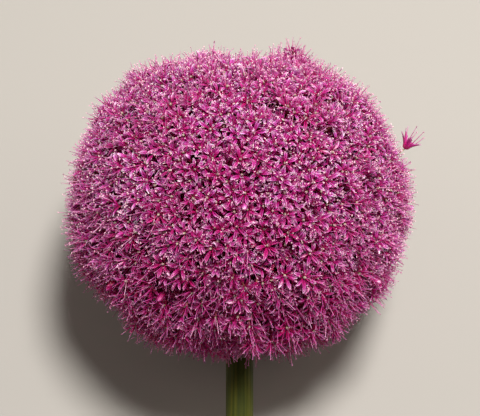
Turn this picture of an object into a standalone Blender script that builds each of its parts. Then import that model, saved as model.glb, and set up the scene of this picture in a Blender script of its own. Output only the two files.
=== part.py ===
"""An allium flower head on a cut length of its scape, laid on its side.

The scape and its swollen top, the receptacle, are one piece. Round the receptacle sit the sprays:
small bunches of florets, each floret on its own stalk, that together fill out a globe. The globe
lies a little flattened on the surface at z = 0, and the cut end of the scape touches it too.

Metres, +Z up. The scape points to -Y and the crown of the globe to +Y. The origin is at the
bottom centre of the whole object's box.
"""

import math

import bmesh
import bpy
import numpy as np
from mathutils import Matrix, Vector

# Driving dimensions
HEAD_RADIUS = 0.0735  # from the receptacle's middle to the outer petals, at the globe's equator
CROWN_DIP = 0.0120  # how much nearer the petals are at the crown
CROWN_SPREAD = math.radians(30)
SCAPE_DIP = 0.009  # the same where the scape comes out
SCAPE_SPREAD = math.radians(32)
HEAD_HEIGHT = 0.070  # the receptacle's middle above the surface: less than the radius
SCAPE_LENGTH = 0.170  # from the receptacle's middle to the cut
SCAPE_RADIUS = 0.0057
SCAPE_RADIUS_AT_CUT = 0.0060
RECEPTACLE_RADIUS = 0.0087
RECEPTACLE_SQUASH = 0.85
RECEPTACLE_STEPS = 7  # along its profile
SCAPE_SIDES = 20
MIDDLE_Y = 0.0447  # the receptacle's middle, where the whole object's box is centred on the origin

SPRAYS = 56
FLORETS = 460
SCAPE_CLEARANCE = math.radians(13)  # no floret closer to the scape than this
SOCKET_SHARE = 0.75  # the sprays' feet cover this share of a full ball round the receptacle
GAP = 0.0003  # left between touching pieces

FOOT_LENGTH = 0.005
FOOT_RADIUS = 0.0012
FOOT_TOP_RADIUS = 0.0017
FOOT_SIDES = 6
PEDICEL_START = 0.0014  # how far up the foot the stalks part
PEDICEL_RADIUS = 0.00045
PEDICEL_SIDES = 3
PETALS = 6
PETAL_REACH = 0.0058  # from a floret's middle to its petal tips
PETAL_NOTCH = 0.0025  # and to the notch between two petals
PETAL_RISE = 0.0004  # the tips' height over the notches
FLORET_DEPTH = 0.0022  # from the top of the stalk up to the petals
OVARY_RISE = 0.0011
STRAY_DIRECTION = Vector((0.945, -0.054, 0.323))  # one stalk here is longer than the rest
STRAY_EXTRA = 0.004

# The angle that brings both the globe and the edge of the cut down onto the surface
TILT = math.asin(
    HEAD_HEIGHT / math.hypot(SCAPE_LENGTH, SCAPE_RADIUS_AT_CUT)
) - math.atan(SCAPE_RADIUS_AT_CUT / SCAPE_LENGTH)
# From the flower's own frame, crown along +Z, to the way it lies
LAID_DOWN = Matrix.Translation((0, MIDDLE_Y, HEAD_HEIGHT)) @ Matrix.Rotation(
    TILT - math.pi / 2, 4, "X"
)


def make_material(name, color, roughness):
    material = bpy.data.materials.new(name)
    material.use_nodes = True
    shader = material.node_tree.nodes["Principled BSDF"]
    shader.inputs["Base Color"].default_value = (*color, 1)
    shader.inputs["Roughness"].default_value = roughness
    shader.inputs["Metallic"].default_value = 0
    return material


def make_object(name, bm, material):
    """The finished mesh as an object, with its normals facing out."""
    bmesh.ops.recalc_face_normals(bm, faces=bm.faces)
    mesh = bpy.data.meshes.new(name)
    bm.to_mesh(mesh)
    bm.free()
    mesh.materials.append(material)
    piece = bpy.data.objects.new(name, mesh)
    bpy.context.scene.collection.objects.link(piece)
    return piece


def even_directions(count):
    """Unit vectors spread evenly over a ball, along a spiral from the crown to the scape."""
    golden_turn = math.pi * (3 - math.sqrt(5))
    height = 1 - (np.arange(count) + 0.5) * 2 / count
    ring = np.sqrt(1 - height**2)
    turn = np.arange(count) * golden_turn
    return np.column_stack([ring * np.cos(turn), ring * np.sin(turn), height])


def head_radius(direction):
    """The globe's radius this way: flatter at the crown, and drawn in where the scape comes out."""
    from_crown = math.acos(max(-1, min(1, direction.z)))
    crown = CROWN_DIP * math.exp(-((from_crown / CROWN_SPREAD) ** 2))
    scape = SCAPE_DIP * math.exp(-(((math.pi - from_crown) / SCAPE_SPREAD) ** 2))
    return HEAD_RADIUS - crown - scape


def socket_direction(direction):
    """Where on the receptacle a spray for this direction sits: clear of the scape."""
    height = 1 - SOCKET_SHARE * (1 - direction.z)
    flat = Vector((direction.x, direction.y, 0)).normalized()
    return flat * math.sqrt(1 - height**2) + Vector((0, 0, height))


def on_axis(start, end):
    """The matrix that takes the origin to start and turns +Z towards end."""
    way = (end - start).normalized()
    return Matrix.Translation(start) @ way.to_track_quat("Z", "Y").to_matrix().to_4x4()


def make_scape(material):
    """The scape, turned as one piece with the receptacle at its top."""
    profile = [Vector((0, 0, -SCAPE_LENGTH)), Vector((SCAPE_RADIUS_AT_CUT, 0, -SCAPE_LENGTH))]
    neck = math.asin(SCAPE_RADIUS / RECEPTACLE_RADIUS)
    for step in range(RECEPTACLE_STEPS + 1):
        turn = (math.pi - neck) * (1 - step / RECEPTACLE_STEPS)
        across = RECEPTACLE_RADIUS * math.sin(turn)
        profile.append(Vector((across, 0, RECEPTACLE_SQUASH * RECEPTACLE_RADIUS * math.cos(turn))))
    profile[-1].x = 0
    bm = bmesh.new()
    verts = [bm.verts.new(point) for point in profile]
    edges = [bm.edges.new(pair) for pair in zip(verts, verts[1:])]
    bmesh.ops.spin(
        bm,
        geom=verts + edges,
        axis=(0, 0, 1),
        cent=(0, 0, 0),
        angle=math.tau,
        steps=SCAPE_SIDES,
        use_merge=True,
    )
    bmesh.ops.remove_doubles(bm, verts=bm.verts, dist=1e-6)
    bm.transform(LAID_DOWN)
    return make_object("scape", bm, material)


def add_foot(bm, socket, target):
    """The short stalk that a spray's pedicels grow from."""
    place = on_axis(socket, target) @ Matrix.Translation((0, 0, FOOT_LENGTH / 2))
    bmesh.ops.create_cone(
        bm,
        segments=FOOT_SIDES,
        cap_ends=True,
        radius1=FOOT_RADIUS,
        radius2=FOOT_TOP_RADIUS,
        depth=FOOT_LENGTH,
        matrix=place,
    )


def star_points():
    """The rim of the six petals, tip and notch in turn, round a floret's middle that faces +Z."""
    for number in range(2 * PETALS):
        turn = math.pi * number / PETALS
        reach, rise = (PETAL_NOTCH, 0) if number % 2 else (PETAL_REACH, PETAL_RISE)
        yield Vector((reach * math.cos(turn), reach * math.sin(turn), rise))


def add_floret(bm, start, end):
    """One floret: a three-sided pedicel that opens into six pointed petals round an ovary."""
    length = (end - start).length
    place = on_axis(start, end)
    loops = []
    for height in (0, length - FLORET_DEPTH):
        ring_place = place @ Matrix.Translation((0, 0, height))
        ring = bmesh.ops.create_circle(bm, segments=PEDICEL_SIDES, radius=PEDICEL_RADIUS, matrix=ring_place)
        loops.append(ring["verts"])
    star = bmesh.ops.create_circle(bm, segments=2 * PETALS, radius=PETAL_REACH)["verts"]
    for vert, point in zip(star, star_points()):
        vert.co = place @ (point + Vector((0, 0, length)))
    loops.append(star)
    for lower, upper in zip(loops, loops[1:]):
        open_edges = {e for v in lower + upper for e in v.link_edges if len(e.link_faces) < 2}
        rims = [e for e in open_edges if set(e.verts) <= set(lower) or set(e.verts) <= set(upper)]
        bmesh.ops.bridge_loops(bm, edges=rims)
    bm.faces.new(loops[0])
    petals = bm.faces.new(star)
    middle = bmesh.ops.poke(bm, faces=[petals])["verts"][0]
    middle.co = place @ Vector((0, 0, length + OVARY_RISE))


def floret_end(start, end):
    """Where the floret's middle comes to: pulled back along its stalk if it would sink into z = 0."""
    turned = on_axis(start, end).to_3x3()
    outermost = [*star_points(), Vector((0, 0, OVARY_RISE))]
    sunk = -min(end.z + (turned @ point).z for point in outermost)
    if sunk <= 0:
        return end
    return end.lerp(start, sunk / (start.z - end.z))


def make_spray(name, centre, directions, extra, material):
    """The foot and its florets, joined into one solid."""
    socket = LAID_DOWN @ (socket_direction(centre) * (RECEPTACLE_RADIUS + GAP))
    target = LAID_DOWN @ (centre * head_radius(centre))
    start = socket + (target - socket).normalized() * PEDICEL_START
    foot = bmesh.new()
    add_foot(foot, socket, target)
    florets = bmesh.new()
    for direction, longer in zip(directions, extra):
        reach = head_radius(direction) - OVARY_RISE + longer
        end = LAID_DOWN @ (direction * reach)
        add_floret(florets, start, floret_end(start, end))
    spray = make_object(name, foot, material)
    stalks = make_object(name + "_florets", florets, material)
    stalks.hide_render = True
    stalks.display_type = "WIRE"
    join = spray.modifiers.new("join_florets", "BOOLEAN")
    join.operation = "UNION"
    join.solver = "EXACT"
    join.use_self = True
    join.object = stalks
    return spray


def make_sprays(material):
    """Each floret belongs to the spray whose middle is nearest."""
    limit = -math.cos(SCAPE_CLEARANCE)
    spots = np.array([d for d in even_directions(FLORETS) if d[2] > limit])
    centres = even_directions(SPRAYS)
    owner = np.argmax(spots @ centres.T, axis=1)
    stray = int(np.argmax(spots @ np.array(STRAY_DIRECTION.normalized())))
    number = 0
    for index, centre in enumerate(centres):
        own = np.flatnonzero(owner == index)
        if not len(own):
            continue
        number += 1
        middle = Vector(spots[own].mean(axis=0)).normalized()
        extra = [STRAY_EXTRA if spot == stray else 0 for spot in own]
        directions = [Vector(spots[spot]) for spot in own]
        make_spray(f"floret_spray_{number:02d}", middle, directions, extra, material)


def main():
    for old in list(bpy.data.objects):
        bpy.data.objects.remove(old)
    make_scape(make_material("scape_green", (0.040, 0.052, 0.016), 0.45))
    make_sprays(make_material("floret_magenta", (0.33, 0.055, 0.18), 0.6))


main()
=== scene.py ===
"""An allium flower head on a cut length of its scape, laid on its side on a pale table.

The globe is some four thousand small florets. Each is a copy of one of 27 models of a floret, set
on its own stalk, with its own size and lean, and pointed out from the middle of the globe.
"""

import math
import random

import bmesh
import bpy
import numpy as np
from mathutils import Matrix, Vector, noise


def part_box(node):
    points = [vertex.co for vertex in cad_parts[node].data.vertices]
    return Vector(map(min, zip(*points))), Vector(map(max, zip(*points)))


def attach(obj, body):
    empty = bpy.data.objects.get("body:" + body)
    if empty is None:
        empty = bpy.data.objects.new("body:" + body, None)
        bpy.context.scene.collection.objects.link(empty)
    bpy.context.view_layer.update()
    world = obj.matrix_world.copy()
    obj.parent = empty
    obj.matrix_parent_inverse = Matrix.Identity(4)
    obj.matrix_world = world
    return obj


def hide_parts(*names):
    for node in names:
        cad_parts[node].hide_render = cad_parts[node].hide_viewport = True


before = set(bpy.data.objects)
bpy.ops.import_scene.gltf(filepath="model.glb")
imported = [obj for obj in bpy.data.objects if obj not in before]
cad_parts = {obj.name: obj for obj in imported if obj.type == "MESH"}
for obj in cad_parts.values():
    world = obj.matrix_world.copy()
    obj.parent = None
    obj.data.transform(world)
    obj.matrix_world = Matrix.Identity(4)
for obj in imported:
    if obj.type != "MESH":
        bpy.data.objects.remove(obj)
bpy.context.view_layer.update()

# ---------------------------------------------------------------------------------------------
# Scape: the round, leafless flower stalk and, at its top, the swollen receptacle that the florets
# sit on. One solid growth, dark green and faintly ribbed, cut straight across with a knife at its
# foot. It leans from the cut end, on the table, up to the receptacle in the middle of the globe.

SCAPE_LENGTH = 0.170
CUT_RADIUS = 0.0060
SCAPE_RADIUS = 0.0057
RECEPTACLE_RADIUS = 0.0087
RECEPTACLE_SQUASH = 0.85
STALK_STEPS = 24  # from the cut up to the neck
NECK_DEPTH = 0.0085  # how far the neck is below the receptacle's middle
NECK_TURN, TOP_TURN = 138, 14  # degrees from the receptacle's top to its neck and to its flat crest
RECEPTACLE_STEPS = 8
RIBS = 22
RIB_DEPTH = 0.00009
SWELLS = 7  # broad swellings under the ribs
SWELL_SHARE = 0.6
SKIN_WIDTH = 0.0005  # the skin's cut edge, which stands a little over the pith
SKIN_RISE = 0.00012
PITH_RIM = 0.0022
PITH_DIP = 0.0003
HEAD_HEIGHT = 0.070

# A flower's own frame has the receptacle at the origin and the crown of the globe along +Z
tilt = math.asin(HEAD_HEIGHT / math.hypot(SCAPE_LENGTH, CUT_RADIUS))
tilt -= math.atan(CUT_RADIUS / SCAPE_LENGTH)
cut_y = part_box("scape")[0].y + CUT_RADIUS * math.sin(tilt)
head_middle = Vector((0, cut_y + SCAPE_LENGTH * math.cos(tilt), HEAD_HEIGHT))
turned = Matrix.Rotation(tilt - math.pi / 2, 3, "X")
laid_down = Matrix.Translation(head_middle) @ turned.to_4x4()


def scape_profile():
    """(height, radius) from the cut end up to the receptacle's top."""
    for step in range(STALK_STEPS + 1):
        share = step / STALK_STEPS
        height = -SCAPE_LENGTH + share * (SCAPE_LENGTH - NECK_DEPTH)
        yield height, CUT_RADIUS + (SCAPE_RADIUS - CUT_RADIUS) * share
    for step in range(1, RECEPTACLE_STEPS + 1):
        turn = math.radians(NECK_TURN + (TOP_TURN - NECK_TURN) * step / RECEPTACLE_STEPS)
        yield (
            RECEPTACLE_SQUASH * RECEPTACLE_RADIUS * math.cos(turn),
            RECEPTACLE_RADIUS * math.sin(turn),
        )


def make_scape_mesh():
    """One ring for each step of the profile, joined up, ribbed and closed at both ends."""
    bm = bmesh.new()
    profile = list(scape_profile())
    ring = bmesh.ops.create_circle(bm, segments=RIBS * 4, radius=1)["verts"]
    edges = list({edge for vert in ring for edge in vert.link_edges})
    rings = [ring]
    for _ in profile[1:]:
        grown = bmesh.ops.extrude_edge_only(bm, edges=edges)["geom"]
        rings.append([item for item in grown if isinstance(item, bmesh.types.BMVert)])
        edges = [item for item in grown if isinstance(item, bmesh.types.BMEdge)]
    for ring, (height, radius) in zip(rings, profile):
        for vert in ring:
            turn = math.atan2(vert.co.y, vert.co.x)
            swell = SWELL_SHARE * math.cos(SWELLS * turn + 1)
            rib = RIB_DEPTH * (math.cos(RIBS * turn) + swell)
            reach = radius - RIB_DEPTH + rib
            vert.co = (reach * math.cos(turn), reach * math.sin(turn), height)
    for rim in (rings[0], rings[-1]):
        bmesh.ops.contextual_create(bm, geom=rim)
    caps = [face for face in bm.faces if len(face.verts) > 4]
    for cap in caps:
        bmesh.ops.inset_region(bm, faces=[cap], thickness=SKIN_WIDTH, depth=-SKIN_RISE)
    foot = min(caps, key=lambda face: face.calc_center_median().z)
    bmesh.ops.inset_region(bm, faces=[foot], thickness=PITH_RIM, depth=-PITH_DIP)
    bmesh.ops.poke(bm, faces=caps)
    bmesh.ops.recalc_face_normals(bm, faces=bm.faces)
    bm.transform(laid_down)
    mesh = bpy.data.meshes.new("scape_stalk")
    bm.to_mesh(mesh)
    bm.free()
    mesh.shade_smooth()
    mesh.set_sharp_from_angle(angle=math.radians(40))
    return mesh


def linear(hex_colour):
    """An sRGB hex colour as the linear RGBA that a shader takes."""
    parts = [int(hex_colour[i : i + 2], 16) / 255 for i in (1, 3, 5)]
    return (*[p / 12.92 if p <= 0.04045 else ((p + 0.055) / 1.055) ** 2.4 for p in parts], 1)


def add_node(tree, kind, settings=(), links=()):
    """Adds a node, sets its properties, its sockets and the stops of its ramp, and links it."""
    node = tree.nodes.new("ShaderNode" + kind)
    for name, value in dict(settings).items():
        if name == "stops":
            for place, _ in value[1:-1]:
                node.color_ramp.elements.new(place)
            for element, (place, colour) in zip(node.color_ramp.elements, value):
                element.position = place
                element.color = linear(colour)
        elif isinstance(name, str) and hasattr(node, name):
            setattr(node, name, value)
        else:
            node.inputs[name].default_value = value
    for name, output in dict(links).items():
        tree.links.new(output, node.inputs[name])
    return node


def new_material(name, roughness, **sockets):
    """A Principled material with these constant values; returns it, its tree and its shader."""
    material = bpy.data.materials.new(name)
    material.use_nodes = True
    tree = material.node_tree
    shader = tree.nodes["Principled BSDF"]
    shader.inputs["Roughness"].default_value = roughness
    for socket, value in sockets.items():
        shader.inputs[socket.replace("_", " ")].default_value = value
    return material, tree, shader


def scape_skin():
    """Living stalk tissue: a thin waxy skin over green pith, with lengthwise streaks."""
    material, tree, shader = new_material("scape_skin", 0.6, Specular_IOR_Level=0.15)
    place = add_node(tree, "TexCoord").outputs["Object"]
    # Turned back into the flower's own frame, so that the streaks run along the stalk
    back = add_node(
        tree, "Mapping", {"Rotation": (math.pi / 2 - tilt, 0, 0)}, {"Vector": place}
    )
    # About 1 mm wide and 45 mm long
    along = add_node(tree, "Mapping", {"Scale": (900, 900, 22)}, {"Vector": back.outputs[0]})
    streaks = add_node(
        tree, "TexNoise", {"Scale": 1.0, "Detail": 3.0}, {"Vector": along.outputs[0]}
    )
    # Blotches of about 11 mm
    mottle = add_node(tree, "TexNoise", {"Scale": 90.0, "Detail": 2.0}, {"Vector": place})
    mixed = add_node(
        tree,
        "Math",
        {"operation": "MULTIPLY_ADD", 1: 0.3},
        {0: mottle.outputs["Fac"], 2: streaks.outputs["Fac"]},
    )
    stops = [(0.45, "#2c3210"), (0.6, "#383e14"), (0.75, "#444818"), (0.95, "#5a541c")]
    skin = add_node(tree, "ValToRGB", {"stops": stops}, {"Fac": mixed.outputs[0]})
    tree.links.new(skin.outputs["Color"], shader.inputs["Base Color"])
    bump = add_node(
        tree, "Bump", {"Strength": 0.25, "Distance": 0.0002}, {"Height": streaks.outputs["Fac"]}
    )
    tree.links.new(bump.outputs["Normal"], shader.inputs["Normal"])
    return material


scape_mesh = make_scape_mesh()
scape_mesh.materials.append(scape_skin())
scape = bpy.data.objects.new("scape_stalk", scape_mesh)
bpy.context.scene.collection.objects.link(scape)
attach(scape, "root")
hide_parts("scape")


# ---------------------------------------------------------------------------------------------
# Petals: six to a floret, in two rings of three. Thin satiny tissue, deep magenta at the foot and
# along the midrib and paler lilac-pink towards the blunt tip.

PETAL_LENGTH = 0.0050
PETAL_WIDTH = 0.0014
PETAL_THICKNESS = 0.00012
PETALS = 6
PETAL_FOOT = 0.0006  # from the floret's middle out to where a petal begins
WIDEST_AT = 0.64  # of the way along
FOOT_WIDTH = 0.28  # as a share of the widest
TIP_WIDTH = 0.3
CHANNEL = 0.5  # how steeply a petal's two halves rise from its midrib
STRIPS = 10  # the parts of a floret, side by side on its square of the baking map
PETAL_STRIP, FILAMENT_STRIP, ANTHER_STRIP, OVARY_STRIP, STALK_STRIP = 0, 6, 7, 8, 9
VALUES = ("along", "across", "strip", "tint", "number")  # what each point carries
PETAL, FILAMENT, ANTHER, OVARY, PEDICEL = range(5)  # the places of a floret's materials

chance = random.Random(11)  # every random draw comes from here, so each run grows the same flower


def new_growth():
    """A bmesh whose points carry where they are on their petal or thread, and whose it is."""
    bm = bmesh.new()
    for name in VALUES:
        bm.verts.layers.float.new(name)
    return bm


def note_place(bm, vert, along, across, strip):
    """Writes down how far along and across its part this point is, and which strip it is in."""
    for name, value in zip(VALUES, (along, across, strip)):
        vert[bm.verts.layers.float[name]] = value


def graft(bm, part, place, material_index):
    """Adds the part to bm, set in this place and made of this material; the part is used up."""
    count = len(bm.verts)
    mesh = bpy.data.meshes.new("part")
    for face in part.faces:
        face.material_index = material_index
    part.to_mesh(mesh)
    part.free()
    bm.from_mesh(mesh)
    bpy.data.meshes.remove(mesh)
    bmesh.ops.transform(bm, matrix=place, verts=list(bm.verts)[count:])


def petal_half_width(along):
    """Half the width, as a share of the widest: narrow at the foot, round at the tip."""
    if along < WIDEST_AT:
        return FOOT_WIDTH + (1 - FOOT_WIDTH) * math.sin(math.pi / 2 * along / WIDEST_AT)
    return max(TIP_WIDTH, math.sqrt(1 - ((along - WIDEST_AT) / (1 - WIDEST_AT)) ** 2))


def add_petal(bm, turn, lift, curl, size, ring, steps):
    """One petal: it leaves the middle at the angle lift and bends outwards by curl on its way."""
    petal = new_growth()
    bmesh.ops.create_grid(petal, x_segments=2, y_segments=steps, size=0.5)
    length = PETAL_LENGTH * size
    twist = chance.uniform(-0.25, 0.25)
    for vert in petal.verts:
        # The power draws the steps a little closer together towards the tip
        across, along = 2 * vert.co.x, (vert.co.y + 0.5) ** 0.8
        angle = lift - curl * along
        out = length * (math.sin(lift) - math.sin(angle)) / curl
        rise = length * (math.cos(angle) - math.cos(lift)) / curl
        side = across * PETAL_WIDTH / 2 * size * petal_half_width(along)
        fold = CHANNEL * abs(side) + twist * side * along
        note_place(petal, vert, along, across, PETAL_STRIP + ring)
        vert.co = Vector((
            PETAL_FOOT + out - fold * math.sin(angle),
            side,
            rise + fold * math.cos(angle),
        ))
    bmesh.ops.solidify(petal, geom=petal.faces, thickness=PETAL_THICKNESS)
    graft(bm, petal, Matrix.Rotation(turn, 4, "Z"), PETAL)


def petal_satin():
    """Petal tissue: satiny and translucent, so that light glows through it in the shade."""
    material, tree, shader = new_material(
        "petal_satin",
        0.32,
        Subsurface_Weight=0.5,
        Subsurface_Scale=0.0008,
        Subsurface_Radius=(1.0, 0.4, 0.7),
        Specular_IOR_Level=0.3,
    )
    along = add_node(tree, "Attribute", {"attribute_name": "along"}).outputs["Fac"]
    across = add_node(tree, "Attribute", {"attribute_name": "across"}).outputs["Fac"]
    tint = add_node(tree, "Attribute", {"attribute_name": "tint"}).outputs["Fac"]
    deep = [(0.0, "#ac0440"), (0.4, "#b00654"), (0.75, "#b2166e"), (1.0, "#c2509e")]
    pale = [
        (0.0, "#a20654"), (0.3, "#ae167c"), (0.64, "#ca60ba"), (0.86, "#ecbce6"), (1.0, "#f8dcf6")
    ]
    deeper = add_node(tree, "ValToRGB", {"stops": deep}, {"Fac": along})
    paler = add_node(tree, "ValToRGB", {"stops": pale}, {"Fac": along})
    # The tint carries each floret's own tone, and also the painted shade and glow given to deep
    # florets and those round the scape
    blend = add_node(
        tree, "Mix", {"data_type": "RGBA"}, {0: tint, 6: deeper.outputs[0], 7: paler.outputs[0]}
    )
    # The midrib and a fainter vein on each side of it, dark against the pale tissue
    from_rib = add_node(tree, "Math", {"operation": "ABSOLUTE"}, {0: across})
    veins = [(0.0, "#ffffff"), (0.2, "#d8d8d8"), (0.42, "#404040"), (0.65, "#000000")]
    vein = add_node(tree, "ValToRGB", {"stops": veins}, {"Fac": from_rib.outputs[0]})
    veined = add_node(
        tree,
        "Mix",
        {"data_type": "RGBA", 7: linear("#8e085e")},
        {0: vein.outputs[0], 6: blend.outputs[2]},
    )
    tree.links.new(veined.outputs[2], shader.inputs["Base Color"])
    return material


# ---------------------------------------------------------------------------------------------
# Stamens: six to a floret, one before each petal. A tapering lilac thread, the filament, longer
# than the petals, with a small cream-pink anther balanced on its tip.

FILAMENT_LENGTH = 0.0068
FILAMENT_RADIUS = 0.0002
FILAMENT_TAPER = 0.45
FILAMENT_FOOT = (0.0008, 0, 0.0002)
THREAD_SIDES = 3
ANTHER_LENGTH = 0.0009
ANTHER_WIDTH = 0.00044
ANTHERS_LEFT = 0.8  # the share of filaments that still carry one


def new_thread(radius, end_radius, cuts):
    """A thin upright thread of height 1 from the origin, cut across so that it can be bent."""
    thread = new_growth()
    bmesh.ops.create_cone(
        thread, segments=THREAD_SIDES, cap_ends=True, radius1=radius, radius2=end_radius, depth=1
    )
    long_edges = [edge for edge in thread.edges if edge.calc_length() > 0.9]
    bmesh.ops.subdivide_edges(thread, edges=long_edges, cuts=cuts)
    bmesh.ops.translate(thread, verts=thread.verts, vec=(0, 0, 0.5))
    return thread


def add_stamen(bm, turn, lean, bend, size, has_anther):
    """One stamen: it leaves the middle at the angle lean and has turned by bend at its tip."""
    length = FILAMENT_LENGTH * size
    around = Matrix.Rotation(turn, 4, "Z") @ Matrix.Translation(FILAMENT_FOOT)
    thread = new_thread(FILAMENT_RADIUS, FILAMENT_RADIUS * FILAMENT_TAPER, 1)
    for vert in thread.verts:
        along = vert.co.z
        angle = lean + bend * along
        chord = lean + bend * along / 2
        note_place(thread, vert, along, vert.co.x / FILAMENT_RADIUS, FILAMENT_STRIP)
        vert.co = Vector((
            length * along * math.sin(chord) + vert.co.x * math.cos(angle),
            vert.co.y,
            length * along * math.cos(chord) - vert.co.x * math.sin(angle),
        ))
    graft(bm, thread, around, FILAMENT)
    if not has_anther:
        return
    anther = new_growth()
    bmesh.ops.create_uvsphere(anther, u_segments=4, v_segments=3, radius=0.5)
    for vert in anther.verts:
        note_place(anther, vert, vert.co.z + 0.5, 2 * vert.co.x, ANTHER_STRIP)
    bmesh.ops.scale(anther, verts=anther.verts, vec=(ANTHER_WIDTH, ANTHER_WIDTH, ANTHER_LENGTH))
    tip = Vector((math.sin(lean + bend / 2), 0, math.cos(lean + bend / 2))) * length
    nod = Matrix.Rotation(chance.uniform(-1.2, 1.2), 4, "X") @ Matrix.Rotation(
        chance.uniform(0.3, 2.2), 4, "Y"
    )
    graft(bm, anther, around @ Matrix.Translation(tip) @ nod, ANTHER)


def filament_thread():
    """Smooth, slightly glossy thread of plant tissue, pinker at its foot."""
    material, tree, shader = new_material(
        "filament_thread", 0.4, Subsurface_Weight=0.2, Subsurface_Scale=0.0008
    )
    along = add_node(tree, "Attribute", {"attribute_name": "along"}).outputs["Fac"]
    stops = [(0.0, "#a40c5c"), (0.5, "#b22c80"), (1.0, "#cc78b4")]
    ramp = add_node(tree, "ValToRGB", {"stops": stops}, {"Fac": along})
    tree.links.new(ramp.outputs["Color"], shader.inputs["Base Color"])
    return material


def anther_pollen():
    """A pollen sac: a dry, powdery, warm cream-pink, some riper and browner than others, and
    darker, as painted shade and glow, in deep florets and those round the scape.
    """
    material, tree, shader = new_material("anther_pollen", 0.7, Sheen_Weight=0.3)
    tint = add_node(tree, "Attribute", {"attribute_name": "tint"}).outputs["Fac"]
    stops = [(0.0, "#9c5480"), (0.5, "#dc98bc"), (1.0, "#f8d0dc")]
    ramp = add_node(tree, "ValToRGB", {"stops": stops}, {"Fac": tint})
    tree.links.new(ramp.outputs["Color"], shader.inputs["Base Color"])
    return material


# ---------------------------------------------------------------------------------------------
# Ovary: the swollen three-lobed seed vessel in the middle of each floret, grey-green and matt,
# with a short thread, the style, standing on it.

OVARY_WIDTH = 0.0012
OVARY_HEIGHT = 0.0016
OVARY_MIDDLE = 0.42  # of its height, above the petals' feet
OVARY_LOBES = 3
LOBE_DEPTH = 0.14
STYLE_FOOT = 0.85  # of the ovary's height
STYLE_LENGTH = 0.0030
STYLE_RADIUS = 0.00016
STYLE_TIP_RADIUS = 0.0001


def add_ovary(bm, size):
    """A lobed ball that sits low among the petals, and its style; size is the ball's alone."""
    ovary = new_growth()
    bmesh.ops.create_uvsphere(ovary, u_segments=6, v_segments=4, radius=0.5)
    for vert in ovary.verts:
        turn = math.atan2(vert.co.y, vert.co.x)
        lobe = 1 + LOBE_DEPTH * math.cos(OVARY_LOBES * turn)
        note_place(ovary, vert, vert.co.z + 0.5, 2 * vert.co.x, OVARY_STRIP)
        vert.co = Vector((
            vert.co.x * OVARY_WIDTH * lobe,
            vert.co.y * OVARY_WIDTH * lobe,
            (vert.co.z + OVARY_MIDDLE) * OVARY_HEIGHT,
        ))
    graft(bm, ovary, Matrix.Scale(size, 4), OVARY)
    style = new_thread(STYLE_RADIUS, STYLE_TIP_RADIUS, 1)
    for vert in style.verts:
        note_place(style, vert, 1.0, 0.0, OVARY_STRIP)
    stretch = Matrix.Translation((0, 0, OVARY_HEIGHT * STYLE_FOOT)) @ Matrix.Scale(
        STYLE_LENGTH, 4, (0, 0, 1)
    )
    graft(bm, style, stretch, OVARY)


def ovary_bloom():
    """Fleshy grey-green tissue under a waxy bloom, flushed plum at the top."""
    material, tree, shader = new_material("ovary_bloom", 0.6)
    along = add_node(tree, "Attribute", {"attribute_name": "along"}).outputs["Fac"]
    stops = [(0.0, "#6a7450"), (0.6, "#a09a80"), (0.85, "#b8a094"), (1.0, "#b07c9c")]
    ramp = add_node(tree, "ValToRGB", {"stops": stops}, {"Fac": along})
    tree.links.new(ramp.outputs["Color"], shader.inputs["Base Color"])
    return material


# ---------------------------------------------------------------------------------------------
# Pedicels: the thin round stalk of each floret, 50 to 60 mm long, green at the receptacle and
# flushed maroon out among the petals.

PEDICEL_RADIUS = 0.00042
KNEE = 0.3  # the outer share of a stalk, over which it turns to face the floret's way


def add_pedicel(bm, start, end, way_out, tint, number):
    """A stalk from start to end that leaves the receptacle radially and ends along way_out."""
    stalk = new_thread(PEDICEL_RADIUS, PEDICEL_RADIUS, 2)
    knee = end - way_out * (end - start).length * KNEE
    square = (end - start).to_track_quat("Z", "Y").to_matrix()
    for vert in stalk.verts:
        along = vert.co.z
        note_place(stalk, vert, along, vert.co.x / PEDICEL_RADIUS, STALK_STRIP)
        vert[stalk.verts.layers.float["tint"]] = tint
        vert[stalk.verts.layers.float["number"]] = number
        middle = start.lerp(knee, along).lerp(knee.lerp(end, along), along)
        vert.co = middle + square @ Vector((vert.co.x, vert.co.y, 0))
    graft(bm, stalk, Matrix.Identity(4), PEDICEL)


def pedicel_skin():
    """Smooth waxy stalk, green where the light never reached and maroon further out."""
    material, tree, shader = new_material("pedicel_skin", 0.45)
    along = add_node(tree, "Attribute", {"attribute_name": "along"}).outputs["Fac"]
    tint = add_node(tree, "Attribute", {"attribute_name": "tint"}).outputs["Fac"]
    maroon = [(0.0, "#5c6a2e"), (0.35, "#6a3a2c"), (0.65, "#801c34"), (1.0, "#981848")]
    green = [(0.0, "#66703a"), (0.6, "#8d9650"), (0.9, "#b9c077"), (1.0, "#cdbf8e")]
    flushed = add_node(tree, "ValToRGB", {"stops": maroon}, {"Fac": along})
    plain = add_node(tree, "ValToRGB", {"stops": green}, {"Fac": along})
    blend = add_node(
        tree, "Mix", {"data_type": "RGBA"}, {0: tint, 6: flushed.outputs[0], 7: plain.outputs[0]}
    )
    tree.links.new(blend.outputs[2], shader.inputs["Base Color"])
    return material


# ---------------------------------------------------------------------------------------------
# Florets: the models that the globe is grown from. Most are open stars, some have only half
# opened, a few are still closed buds, and some are over, with short petals and a fat ovary.

OPEN_MODELS = 14
HALF_OPEN_MODELS = 4
DEEP_MODELS = 5
OVER_MODELS = 2
BUD_LENGTH = 0.0052
BUD_WIDTH = 0.0027
FURROW_DEPTH = 0.09


def finish_model(bm, name):
    """The model as a mesh, to be copied into the sprays."""
    bmesh.ops.recalc_face_normals(bm, faces=bm.faces)
    mesh = bpy.data.meshes.new(name)
    bm.to_mesh(mesh)
    bm.free()
    return mesh


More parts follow.
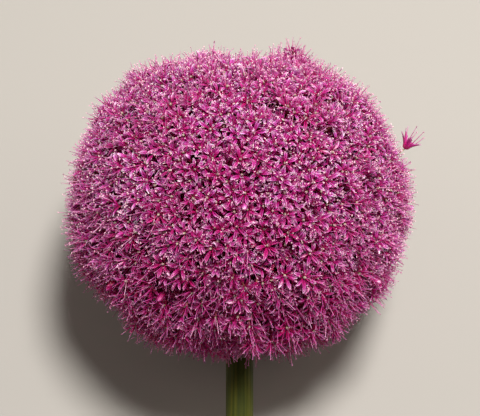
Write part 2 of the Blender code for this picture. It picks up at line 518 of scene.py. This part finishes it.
def make_floret(
    name, lift, curl, lean, stamen_size=1.0, steps=3, stamens=6, petal_size=1.0, ovary_size=1.0
):
    """A floret at the origin, facing +Z. One with fewer than six stamens has no ovary either."""
    bm = new_growth()
    for number in range(PETALS):
        add_petal(
            bm,
            math.tau * number / PETALS + chance.uniform(-0.12, 0.12),
            lift + chance.uniform(-0.18, 0.18) - 0.1 * (number % 2),
            max(0.15, curl + chance.uniform(-0.3, 0.3)),
            petal_size * chance.uniform(0.9, 1.08),
            number,
            steps,
        )
    for number in range(stamens):
        add_stamen(
            bm,
            math.tau * number / stamens + chance.uniform(-0.25, 0.25),
            lean + chance.uniform(-0.16, 0.2),
            chance.uniform(-0.35, 0.15),
            stamen_size * chance.uniform(0.85, 1.12),
            chance.random() < ANTHERS_LEFT,
        )
    if stamens == PETALS:
        add_ovary(bm, ovary_size)
    return finish_model(bm, name)


def make_bud(name):
    """Six petals still folded into one another, so one closed shape with six shallow furrows."""
    bm = new_growth()
    ball = bmesh.ops.create_uvsphere(bm, u_segments=12, v_segments=7, radius=0.5)["verts"]
    for vert in ball:
        turn = math.atan2(vert.co.y, vert.co.x)
        height = vert.co.z + 0.5
        fullness = 1.15 - 0.45 * height
        furrow = (1 + FURROW_DEPTH * math.cos(PETALS * turn)) * fullness
        note_place(bm, vert, height, 2 * vert.co.x, PETAL_STRIP)
        vert.co = Vector((
            vert.co.x * BUD_WIDTH * furrow,
            vert.co.y * BUD_WIDTH * furrow,
            height * BUD_LENGTH,
        ))
    return finish_model(bm, name)


open_models = []
for number in range(OPEN_MODELS):
    lift, curl, lean = (chance.uniform(*span) for span in ((0.5, 1.2), (0.3, 1.1), (0.3, 0.85)))
    open_models.append(make_floret(f"open_{number}", lift, curl, lean))
half_open_models = []
for number in range(HALF_OPEN_MODELS):
    lift = chance.uniform(1.2, 1.4)
    half_open_models.append(make_floret(f"half_open_{number}", lift, 0.3, 0.15, 0.75))
# Deep among the others only petals and the odd stamen show, so these are simpler
deep_models = []
for number in range(DEEP_MODELS):
    lift, curl, lean = (chance.uniform(*span) for span in ((0.25, 0.8), (0.3, 0.9), (0.3, 0.7)))
    deep_models.append(make_floret(f"deep_{number}", lift, curl, lean, steps=2, stamens=2))
bud_model = make_bud("bud")
stray_model = make_floret("stray", 1.15, 0.3, 0.3)
over_models = []
for number in range(OVER_MODELS):
    over = make_floret(f"over_{number}", 0.9, 0.3, 0.4, 0.8, 2, petal_size=0.6, ovary_size=1.7)
    over_models.append(over)

# ---------------------------------------------------------------------------------------------
# The globe: florets spread evenly over it, jostled out of line, some standing a little deeper
# than others. They grow in sprays round the receptacle, one piece each.

SPRAYS = 56
FLORETS = 3300
DEEP_FLORETS = 1500
HEAD_RADIUS = 0.0722
CROWN_DIP = 0.0125
CROWN_SPREAD = math.radians(30)
SCAPE_DIP = 0.009
SCAPE_SPREAD = math.radians(32)
SOCKET_SHARE = 0.75  # of a full ball round the receptacle is covered by stalks
SCAPE_CLEARANCE = math.radians(10)
JOSTLE = 0.34  # of the distance between neighbours
CLUMP_HEIGHT = 0.0030
CLUMPS = 7.0  # to a radius
PATCHES = 3.5  # of paler and deeper florets, to a radius
PATCH_TINT = 0.45
MEAN_TINT = 0.7  # from 0, the deepest floret, to 1, the palest
TINT_SPREAD = 0.22
LEAST_SIZE, MOST_SIZE = 0.86, 1.08
LEAN_SPREAD = 0.24
MEAN_GREEN = 0.05  # of a pedicel
GREEN_SPREAD = 0.15
MOST_DEPTH = 0.0060  # of the outer florets below the globe's surface
THIN_FROM = 0.25  # how far towards the scape, where the florets begin to stand further apart
MOST_THINNED = 0.45
LEAST_DEEP = 0.0030  # and of the deep ones
MOST_DEEP = 0.0100
PETAL_RISE = 0.0038  # how far the petals stand out beyond a floret's foot
SOFT_HEIGHT = 0.004  # below this, petals are pressed flatter by the table
STRAY_WAY = Vector((0.945, -0.054, 0.323)).normalized()
STRAY_REACH = 0.0738
STRAY_LEAN = Vector((0.55, -0.15, 0.82)).normalized()
STRAY_SIZE = 1.4
STRAY_GREEN = 0.95
DEEP_SIZE = 1.25
DEEP_TINT = 0.7  # painted glow and shade: deep florets are coloured deeper and redder, standing in for the light that reaches them through other petals
SHADED_TINT = 0.9  # painted shade: so are those round the scape, which the light hardly reaches, the more so the further round they face
# A draw from 0 to 1 below these makes a floret a bud, half open or, near OVER_WAY, over
BUD_BELOW, HALF_OPEN_BELOW, OVER_BELOW = 0.02, 0.10, 0.55
OVER_WAY = Vector((-0.13, -0.52, 0.84)).normalized()
OVER_SPREAD = math.radians(11)
# Places where the globe grew fuller or thinner: which way, by how much, and over how many degrees
UNEVEN = [
    ((-0.17, 0.0, 0.98), 0.0065, 8),
    ((0.32, 0.0, 0.95), 0.0070, 9),
    ((0.05, 0.0, 1.0), -0.0085, 8),
    ((0.93, -0.1, 0.36), -0.0050, 9),
    ((-0.77, 0.0, -0.64), -0.0035, 6),
    ((0.34, 0.0, -0.94), 0.0020, 8),
    ((0.55, 0.0, -0.83), -0.0025, 6),
    ((-0.30, 0.5, 0.80), 0.0030, 9),
    ((0.45, -0.7, 0.50), 0.0025, 9),
    ((-0.50, -0.7, -0.30), -0.0025, 9),
    ((0.70, 0.0, 0.71), -0.0032, 12),
    ((-0.87, 0.0, 0.50), -0.0035, 8),
    ((-0.77, -0.1, -0.64), -0.0030, 8),
    ((0.80, -0.1, -0.60), -0.0030, 9),
]


def even_ways(count):
    """Unit vectors spread evenly over a ball, along a spiral from the crown to the scape."""
    golden_turn = math.pi * (3 - math.sqrt(5))
    for number in range(count):
        height = 1 - (number + 0.5) * 2 / count
        ring = math.sqrt(1 - height**2)
        turn = number * golden_turn
        yield Vector((ring * math.cos(turn), ring * math.sin(turn), height))


def globe_radius(way):
    """The globe's radius this way: flatter at the crown, drawn in where the scape comes out."""
    from_crown = math.acos(max(-1, min(1, way.z)))
    crown = CROWN_DIP * math.exp(-((from_crown / CROWN_SPREAD) ** 2))
    scape = SCAPE_DIP * math.exp(-(((math.pi - from_crown) / SCAPE_SPREAD) ** 2))
    radius = HEAD_RADIUS - crown - scape
    for spot, height, spread in UNEVEN:
        radius += height * math.exp(-((way.angle(Vector(spot)) / math.radians(spread)) ** 2))
    return radius + CLUMP_HEIGHT * noise.noise(way * CLUMPS)


def socket(way):
    """The point on the receptacle that a stalk going this way grows from, clear of the scape."""
    height = 1 - SOCKET_SHARE * (1 - way.z)
    flat = Vector((way.x, way.y, 0)).normalized() * math.sqrt(max(0, 1 - height**2))
    return Vector((flat.x, flat.y, height * RECEPTACLE_SQUASH)) * RECEPTACLE_RADIUS


def pressed(point):
    """The point, moved up out of the table if it would sink in, and flatter the deeper it is."""
    if point.z < SOFT_HEIGHT:
        point.z = SOFT_HEIGHT * math.exp(point.z / SOFT_HEIGHT - 1)
    return point


def add_floret(bm, model, place, tint, number):
    """A copy of the model, set in this place, with its tint and its number in the spray."""
    count = len(bm.verts)
    bm.from_mesh(model)
    layers = bm.verts.layers.float
    tint_layer, number_layer = layers["tint"], layers["number"]
    for vert in list(bm.verts)[count:]:
        vert.co = pressed(place @ vert.co)
        vert[tint_layer] = tint
        vert[number_layer] = number


def jostled(ways, count):
    """The ways, each pushed off its place in the spiral, leaving out those too near the scape."""
    step = math.sqrt(4 * math.pi / count) * JOSTLE / 2
    for way in ways:
        way = (way + Vector([chance.gauss(0, step) for _ in range(3)])).normalized()
        if way.z > -math.cos(SCAPE_CLEARANCE):
            yield way


def plan_florets():
    """For each floret: its way out, how far its foot stands from the middle, and its model."""
    for way in jostled(even_ways(FLORETS), FLORETS):
        towards_scape = max(0, -way.z - THIN_FROM) / (1 - THIN_FROM)
        if chance.random() < MOST_THINNED * min(1, 2 * towards_scape):
            continue
        depth = MOST_DEPTH * chance.random() ** 2.0
        kind = chance.random()
        if kind < BUD_BELOW:
            model = bud_model
        elif kind < HALF_OPEN_BELOW:
            model = chance.choice(half_open_models)
        elif kind < OVER_BELOW and way.angle(OVER_WAY) < OVER_SPREAD:
            model = chance.choice(over_models)
        else:
            model = chance.choice(open_models)
        yield way, globe_radius(way) - PETAL_RISE - depth, model
    for way in jostled(even_ways(DEEP_FLORETS), DEEP_FLORETS):
        depth = chance.uniform(LEAST_DEEP, MOST_DEEP)
        yield way, globe_radius(way) - PETAL_RISE - depth, chance.choice(deep_models)
    yield STRAY_WAY, STRAY_REACH, stray_model


def lay_out_for_baking(mesh, count):
    """A map with a square for each floret, where its parts lie side by side in strips."""
    corner = np.empty(len(mesh.loops), np.int32)
    mesh.loops.foreach_get("vertex_index", corner)
    found = {}
    for name in VALUES:
        values = np.empty(len(mesh.vertices), np.float32)
        mesh.attributes[name].data.foreach_get("value", values)
        found[name] = values[corner]
    side = math.ceil(math.sqrt(count))
    across = (found["strip"] + 0.5 + 0.4 * found["across"].clip(-1, 1)) / STRIPS
    along = 0.05 + 0.9 * found["along"].clip(0, 1)
    places = np.column_stack([
        (found["number"] % side + across) / side,
        (found["number"] // side + along) / side,
    ])
    layer = mesh.uv_layers.new(name="OFBake")
    layer.uv.foreach_set("vector", places.astype(np.float32).ravel())


materials = [petal_satin(), filament_thread(), anther_pollen(), ovary_bloom(), pedicel_skin()]
spray_ways = list(even_ways(SPRAYS))
sprays = [[] for _ in spray_ways]
for plan in plan_florets():
    nearest = max(range(SPRAYS), key=lambda index: spray_ways[index].dot(plan[0]))
    sprays[nearest].append(plan)

for index, plans in enumerate(sprays):
    bm = new_growth()
    for number, (way, reach, model) in enumerate(plans):
        stray = way is STRAY_WAY
        tint = chance.gauss(MEAN_TINT, TINT_SPREAD) + PATCH_TINT * noise.noise(way * PATCHES)
        tint = min(1, max(0, tint))
        foot = way * reach
        lean = Vector([chance.gauss(0, LEAN_SPREAD) for _ in range(3)])
        out = STRAY_LEAN if stray else (way + lean).normalized()
        size = chance.uniform(LEAST_SIZE, MOST_SIZE)
        if stray:
            size = STRAY_SIZE
        elif model in deep_models:
            size *= DEEP_SIZE
            # Painted glow and shade: a deep floret's colour is pushed towards the deeper, redder
            # ramp
            tint -= DEEP_TINT
        # Painted shade: florets facing towards the scape are coloured deeper and redder
        tint -= SHADED_TINT * max(0, -way.z)
        place = (
            laid_down
            @ Matrix.Translation(foot)
            @ out.to_track_quat("Z", "Y").to_matrix().to_4x4()
            @ Matrix.Rotation(chance.uniform(0, math.tau), 4, "Z")
            @ Matrix.Scale(size, 4)
        )
        add_floret(bm, model, place, tint, number)
        green = STRAY_GREEN if stray else max(0, chance.gauss(MEAN_GREEN, GREEN_SPREAD))
        end = pressed(laid_down @ foot)
        add_pedicel(bm, laid_down @ socket(way), end, turned @ out, green, number)
    name = f"florets_{index + 1:02d}"
    mesh = bpy.data.meshes.new(name)
    bm.to_mesh(mesh)
    bm.free()
    mesh.shade_smooth()
    mesh.set_sharp_from_angle(angle=math.radians(50))
    lay_out_for_baking(mesh, len(plans))
    for material in materials:
        mesh.materials.append(material)
    piece = bpy.data.objects.new(name, mesh)
    bpy.context.scene.collection.objects.link(piece)
    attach(piece, "root")
    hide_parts(f"floret_spray_{index + 1:02d}")

# ---------------------------------------------------------------------------------------------
# The studio: a pale table, one soft light from above, leaning to the crown and the right, two weak
# fills, and the camera looking down square to the scape.

FRAME_WIDTH = 0.204  # what the picture takes in at the globe
AIM = Vector((0.0002, 0, -0.0013))  # in the flower's own frame
TABLE_REACH = 3
LENS = 100
SENSOR = 36

bm = bmesh.new()
bmesh.ops.create_grid(bm, x_segments=1, y_segments=1, size=TABLE_REACH)
floor_mesh = bpy.data.meshes.new("floor")
bm.to_mesh(floor_mesh)
bm.free()
floor_material, _, floor_shader = new_material("pale_table", 0.9)
floor_shader.inputs["Base Color"].default_value = linear("#acaaa6")
floor_mesh.materials.append(floor_material)
floor = bpy.data.objects.new("floor", floor_mesh)
bpy.context.scene.collection.objects.link(floor)


def add_light(name, way, distance, size, watts, colour):
    """A round soft light, which way from the head in the flower's own frame."""
    data = bpy.data.lights.new(name, "AREA")
    data.shape = "DISK"
    data.size = size
    data.energy = watts
    data.color = linear(colour)[:3]
    light = bpy.data.objects.new(name, data)
    out = turned @ Vector(way).normalized()
    light.location = head_middle + out * distance
    light.rotation_euler = (-out).to_track_quat("-Z", "Y").to_euler()
    bpy.context.scene.collection.objects.link(light)


add_light("key", (0.17, -0.86, 0.52), distance=1.25, size=0.32, watts=24.5, colour="#fffaf4")
add_light("left_fill", (-0.85, -0.45, 0.5), distance=1.2, size=0.9, watts=1.6, colour="#faeedc")
add_light("right_fill", (0.85, -0.45, 0.45), distance=1.2, size=0.9, watts=2.4, colour="#faeedc")

world = bpy.data.worlds.new("studio")
bpy.context.scene.world = world
world.use_nodes = True
world.node_tree.nodes["Background"].inputs["Color"].default_value = linear("#f6eae0")
world.node_tree.nodes["Background"].inputs["Strength"].default_value = 0.14
bpy.context.scene.view_settings.view_transform = "Standard"

camera_data = bpy.data.cameras.new("camera")
camera_data.lens = LENS
camera_data.sensor_width = SENSOR
camera_data.clip_start = 0.01
camera = bpy.data.objects.new("camera", camera_data)
back_off = Vector((0, -FRAME_WIDTH * LENS / SENSOR, 0))
camera.location = laid_down @ (AIM + back_off)
look = laid_down @ AIM - camera.location
camera.rotation_euler = look.to_track_quat("-Z", "Y").to_euler()
bpy.context.scene.collection.objects.link(camera)
bpy.context.scene.camera = camera
